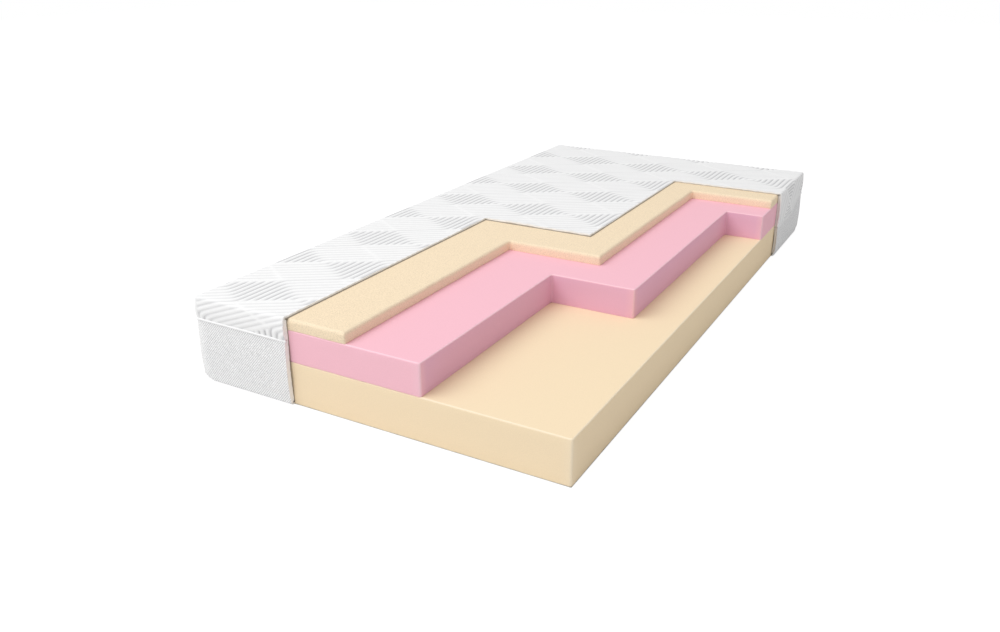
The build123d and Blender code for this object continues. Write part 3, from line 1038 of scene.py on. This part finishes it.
def add_border(walk, material):
    """Twill border whose raised lines rise to the right."""
    slant = 1 / math.tan(TWILL_ANGLE)
    step = TWILL_PITCH / math.sin(TWILL_ANGLE) / TWILL_SAMPLES
    tallest = BORDER_FOLD + SEAM_NEAR
    seam = BORDER_FOLD + SEAM_SIDE - BOTTOM_EDGE
    columns = np.arange(0, walk.length + tallest * slant + 2 * step, step)
    foot = lines_between([0, BOTTOM_TUCK - BOTTOM_EDGE, BORDER_FOLD], BOTTOM_EDGE / 2)
    upright = lines_between([BORDER_FOLD, seam - SLOT[1] - SEAM_HALF, seam, tallest], TWILL_ROW)
    rows = np.concatenate((foot[:-1], upright))
    cloth = grid_points(columns, rows)
    cloth[:, 0] -= cloth[:, 1] * slant
    faces = grid_faces(len(columns), len(rows), flip=True)
    cloth, faces = trimmed_border(walk, cloth, faces, CUT_SLANT, walk.length)
    plan, outward, clear = walk.at(cloth[:, 0])
    phase = (cloth[:, 0] + cloth[:, 1] * slant) / (step * TWILL_SAMPLES)
    lines = (1 + np.cos(2 * math.pi * phase)) / 2
    plain = 1 - smooth(clear / TWILL_FADE)
    lines = lines * (1 - plain) + TWILL_PLAIN * plain
    depth = TWILL_RELIEF * (1 - lines) - border_lift(cloth)
    points = border_places(walk, cloth, depth)
    inner = border_places(walk, cloth, depth + hem_depth(*plan.T, TWILL))
    places, quads = hemmed(points, faces, inner)
    relief = np.full(len(places), TWILL_PLAIN)
    at_side = np.abs(outward[:, 0])
    # Painted shade: the lines are painted darker on the long sides.
    relief[: len(points)] = lines * (1 - (1 - TWILL_SIDE_SHADE) * at_side)
    piece = new_piece("cover_border", "border_twill", places, quads, material, relief)
    flat_area(cloth, faces)


def add_border_wadding(walk, material):
    """Wadding behind the border, set back a little from the cuts."""
    stops = [0, walk.length]
    for begin, _, _, size in walk.runs[:-1]:
        stops.extend(begin + size + CORNER_TURNS * walk.corner)
    columns = lines_between(stops, WADDING_STEP)
    foot = np.linspace(0, BORDER_FOLD, WADDING_FOOT_STEPS)
    upright = np.arange(BORDER_FOLD + WADDING_ROW, BORDER_FOLD + SEAM_NEAR, WADDING_ROW)
    rows = np.append(foot, upright)
    cloth = grid_points(columns, rows)
    faces = grid_faces(len(columns), len(rows), flip=True)
    end = walk.length - SIDE_RECESS
    cloth, faces = trimmed_border(walk, cloth, faces, WADDING_RECESS, end, POCKET)
    ends = np.minimum(cloth[:, 0], walk.length - cloth[:, 0])
    wave = np.sin(2 * math.pi * cloth[:, 1] / BORDER_RIM_WAVE)
    uneven = RIM_UNEVEN * np.exp(-ends / RIM_REACH) * wave
    slanted = np.column_stack((np.maximum(cloth[:, 0], CUT_SLANT), cloth[:, 1]))
    outer = border_places(walk, slanted, TWILL - uneven - border_lift(cloth))
    inner = border_places(walk, cloth, SIDE_WADDING_DEPTH + uneven)
    points, quads, relief = shell_mesh(faces, outer, inner)
    # Painted shade: the right cut of the border wadding is painted grey.
    relief[np.isclose(points[:, 1], COVER_CUT[3] + SIDE_RECESS)] = CUT_SHADE_TONE
    piece = new_piece("wadding_border", "border_wadding", points, quads, material, relief)


def tube(line, across, radius, sides):
    """Tube with flat ends along a line of points. across has a direction square to it at each point."""
    up = np.cross(unit(np.gradient(line, axis=0)), across)
    turns = np.linspace(0, 2 * math.pi, sides, endpoint=False)[None, :, None]
    outward = np.cos(turns) * across[:, None, :] + np.sin(turns) * up[:, None, :]
    rings = line[:, None, :] + radius * outward
    return rings.reshape(-1, 3), skin_faces(len(line), sides)


def add_piping(material):
    """Thin bead along the seam, in one length at each side of the zip, where its ends turn in."""
    walk = Walk(KNIT_X - PIPING_SET, KNIT_Y - PIPING_SET, BORDER_CORNER - PIPING_SET)
    fine = lines_between([0, walk.length], PIPING_STEP)
    places, outward, _ = walk.at(fine)
    at_left = places[:, 0] < -FLAT_X
    past_slot = np.abs(places[:, 1]) - SLOT[0] + PIPING_OVERLAP
    in_slot = at_left & (past_slot < 0)
    by_zip = np.where(at_left, smooth(1 - past_slot / PIPING_DIP_LENGTH), 0)
    places = places - outward * (PIPING_DIP * by_zip)[:, None]
    line = at_height(places, seam_height(places[:, 1]))
    across = at_height(outward, 0)
    first = in_slot.argmax()
    last = len(in_slot) - in_slot[::-1].argmax()
    for name, part in (("piping_near", slice(0, first)), ("piping_far", slice(last, None))):
        points, faces = tube(line[part], across[part], PIPING_RADIUS, PIPING_SIDES)
        new_piece(name, f"seam_{name}", points, faces, material)


def add_bottom(material):
    """Bottom cloth, which runs out to the face of the foam where the border is cut away."""
    near_x, _, _, right_y = moved_back(CUT_SLANT)
    tuck_x = BORDER_X - BOTTOM_TUCK
    tuck_y = BORDER_Y - BOTTOM_TUCK
    x = lines_between([-tuck_x, near_x, tuck_x, CORE_X], BOTTOM_STEP)
    y = lines_between([-CORE_Y, -tuck_y, right_y, tuck_y], BOTTOM_STEP)
    flat = grid_points(x, y)
    faces = grid_faces(len(x), len(y), flip=True)
    middle_x, middle_y = flat[faces].mean(axis=1).T
    beyond_near = (middle_y < -tuck_y) & (middle_x < near_x)
    beyond_right = (middle_x > tuck_x) & (middle_y > right_y)
    flat, faces = compact(flat, faces[~beyond_near & ~beyond_right])
    places, quads = hemmed(at_height(flat, 0), faces, at_height(flat, PANEL_TOP))
    piece = new_piece("cover_bottom", "bottom_panel", places, quads, material)
    flat_area(flat, faces)


# Zip

def zip_tape_mesh(node, side):
    """Woven tape with a thicker edge beside the coil, which meets the other tape beyond the stops."""
    low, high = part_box(node)
    face, back = low[0], high[0]
    inner = abs((low[2] if side > 0 else high[2]) - SEAM_SIDE)
    width = high[2] - low[2]
    thick = back - face
    section = [
        (0.0, TAPE_ROUND),
        (TAPE_ROUND, 0.0),
        (TAPE_CORD, 0.0),
        (TAPE_CORD + TAPE_SLOPE, TAPE_ROUND),
        (TAPE_GROOVE_END - TAPE_SLOPE, TAPE_ROUND),
        (TAPE_GROOVE_END, 0.0),
        (width / 2, 0.0),
        (width - TAPE_SELVEDGE, 0.0),
        (width - TAPE_SELVEDGE + TAPE_SLOPE, TAPE_ROUND),
        (width - TAPE_ROUND, TAPE_ROUND / 2),
        (width, TAPE_ROUND),
        (width, thick - TAPE_ROUND),
        (width - TAPE_ROUND, thick),
        (TAPE_ROUND, thick),
        (0.0, thick - TAPE_ROUND),
    ]
    across, depth = np.array(section).T
    past_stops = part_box("zip_bottom_stop")[1][1] + COIL_PITCH
    ends = [past_stops, past_stops + TAPE_MEET / 2, past_stops + TAPE_MEET]
    lengths = lines_between([low[1], *(-y for y in ends), *ends, high[1]], TAPE_STEP)
    rings = []
    for y in lengths:
        parting = inner + (TAPE_PARTING - inner) * smooth((abs(y) - past_stops) / TAPE_MEET)
        height = SEAM_SIDE + side * (parting + across)
        rings.append(np.column_stack((face + depth, np.full(len(section), y), height)))
    return np.concatenate(rings), skin_faces(len(rings), len(section), flip=side < 0)


def zip_coil_mesh(node, side):
    """Filament wound into a coil along the edge of a tape, whose turns mesh with those opposite."""
    low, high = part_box(node)
    outer = high[2] if side > 0 else low[2]
    inner = SEAM_SIDE - side * COIL_MESH
    half_width = abs(outer - inner) / 2 - COIL_FILAMENT
    half_depth = (high[0] - low[0]) / 2 - COIL_FILAMENT
    length = high[1] - low[1] - 2 * COIL_FILAMENT
    steps = int(length / COIL_PITCH * COIL_STEPS)
    turn = np.arange(steps + 1) * 2 * math.pi / COIL_STEPS
    phase = turn if side > 0 else turn + math.pi
    line = np.column_stack(
        (
            (low[0] + high[0]) / 2 + half_depth * np.sin(phase),
            low[1] + COIL_FILAMENT + turn / (2 * math.pi) * COIL_PITCH,
            (inner + outer) / 2 + half_width * np.cos(phase),
        )
    )
    ahead = np.gradient(line, axis=0)
    outward = np.column_stack((np.sin(phase), np.zeros(len(phase)), np.cos(phase)))
    outward -= ahead * ((outward * ahead).sum(axis=1) / (ahead * ahead).sum(axis=1))[:, None]
    return tube(line, unit(outward), COIL_FILAMENT, COIL_SIDES)


def add_zip():
    """Tapes and coil rows as cloth and nylon, with the metal parts as they are."""
    tape = cloth_material("zip_tape", colour(232, 232, 230), 0.0009)
    coil = coil_material()
    metal = metal_material()
    for word, side in (("upper", 1), ("lower", -1)):
        for kind, make, material in (("tape", zip_tape_mesh, tape), ("coil", zip_coil_mesh, coil)):
            node = f"zip_{kind}_{word}"
            points, faces = make(node, side)
            new_piece(f"{kind}_{word}", node, points, faces, material)
    stops = ("zip_top_stop_upper", "zip_top_stop_lower", "zip_bottom_stop")
    for node in (*stops, "zip_slider", "zip_pull"):
        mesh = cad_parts[node].data
        mesh.materials.clear()
        mesh.materials.append(metal)


# Camera, light and floor

def background_share(tree):
    """1 for rays that show the background: from the camera, a reflection or a clear surface."""
    path = tree.nodes.new("ShaderNodeLightPath")
    total = path.outputs["Is Camera Ray"]
    for name in ("Is Glossy Ray", "Is Transmission Ray"):
        larger = tree.nodes.new("ShaderNodeMath")
        larger.operation = "MAXIMUM"
        tree.links.new(total, larger.inputs[0])
        tree.links.new(path.outputs[name], larger.inputs[1])
        total = larger.outputs["Value"]
    return total


def finish_tree(tree, lighting, shown, kind):
    """Output that uses one shader for lighting and another where the background is shown."""
    mix = tree.nodes.new("ShaderNodeMixShader")
    tree.links.new(background_share(tree), mix.inputs["Fac"])
    tree.links.new(lighting, mix.inputs[1])
    tree.links.new(shown, mix.inputs[2])
    output = tree.nodes.new(kind)
    tree.links.new(mix.outputs["Shader"], output.inputs["Surface"])


def add_world():
    """Even sky light, and a white background where the sky itself is seen."""
    world = bpy.data.worlds.new("studio")
    world.use_nodes = True
    tree = world.node_tree
    tree.nodes.clear()
    light = tree.nodes.new("ShaderNodeBackground")
    light.inputs["Strength"].default_value = SKY_LIGHT
    white = tree.nodes.new("ShaderNodeBackground")
    for shade in (light, white):
        shade.inputs["Color"].default_value = grey(1)
    lighting, shown = (shade.outputs["Background"] for shade in (light, white))
    finish_tree(tree, lighting, shown, "ShaderNodeOutputWorld")
    bpy.context.scene.world = world


def add_floor():
    """White floor, which shows the shadow faintly."""
    material = bpy.data.materials.new("floor")
    material.use_nodes = True
    tree = material.node_tree
    tree.nodes.clear()
    plain = tree.nodes.new("ShaderNodeBsdfDiffuse")
    plain.inputs["Color"].default_value = grey(FLOOR_TONE)
    faint = tree.nodes.new("ShaderNodeBsdfDiffuse")
    faint.inputs["Color"].default_value = grey(FLOOR_SHADOW)
    glow = tree.nodes.new("ShaderNodeEmission")
    glow.inputs["Strength"].default_value = FLOOR_GLOW
    shown = tree.nodes.new("ShaderNodeAddShader")
    tree.links.new(faint.outputs["BSDF"], shown.inputs[0])
    tree.links.new(glow.outputs["Emission"], shown.inputs[1])
    finish_tree(tree, plain.outputs["BSDF"], shown.outputs["Shader"], "ShaderNodeOutputMaterial")
    corners = [(*corner, 0) for corner in block_outline(FLOOR_HALF, FLOOR_HALF)]
    mesh = bpy.data.meshes.new("floor")
    mesh.from_pydata(corners, [], [(0, 1, 2, 3)])
    mesh.materials.append(material)
    floor = placed("floor", mesh)
    floor.location.z = -FLOOR_GAP


def add_camera():
    """Camera that sees the mattress as the photograph does."""
    camera = bpy.data.cameras.new("camera")
    camera.sensor_width = SENSOR_WIDTH
    camera.lens = CAMERA_FOCAL / PHOTO_WIDTH * camera.sensor_width
    camera.clip_end = 4 * FLOOR_HALF
    eye = placed("camera", camera)
    eye.location = CAMERA_PLACE
    eye.rotation_euler = (math.pi / 2 - CAMERA_PITCH, 0, CAMERA_YAW)
    bpy.context.scene.camera = eye


def add_key_light():
    """Broad soft light from the upper left, in front, which fades towards the far right."""
    lamp = bpy.data.lights.new("key", "AREA")
    lamp.shape = "DISK"
    lamp.size = KEY_SIZE
    lamp.energy = KEY_LIGHT
    key = placed("key", lamp)
    key.location = KEY_PLACE
    key.rotation_euler = Vector(KEY_PLACE).to_track_quat("Z", "Y").to_euler()
    key.visible_camera = False


def add_cover():
    """Knit, border, wadding, piping and bottom cloth."""
    wadding = wadding_material()
    walk = Walk(KNIT_X, KNIT_Y, BORDER_CORNER)
    add_knit(knit_material())
    add_upper_wadding(wadding)
    add_border(walk, twill_material())
    add_border_wadding(walk, wadding)
    add_piping(cloth_material("piping", colour(250, 250, 250), 0.0012))
    add_bottom(cloth_material("bottom_cloth", colour(236, 236, 234), 0.0015))


bpy.context.scene.view_settings.view_transform = "Standard"
add_world()
add_floor()
add_camera()
add_key_light()
add_core()
add_cover()
add_zip()
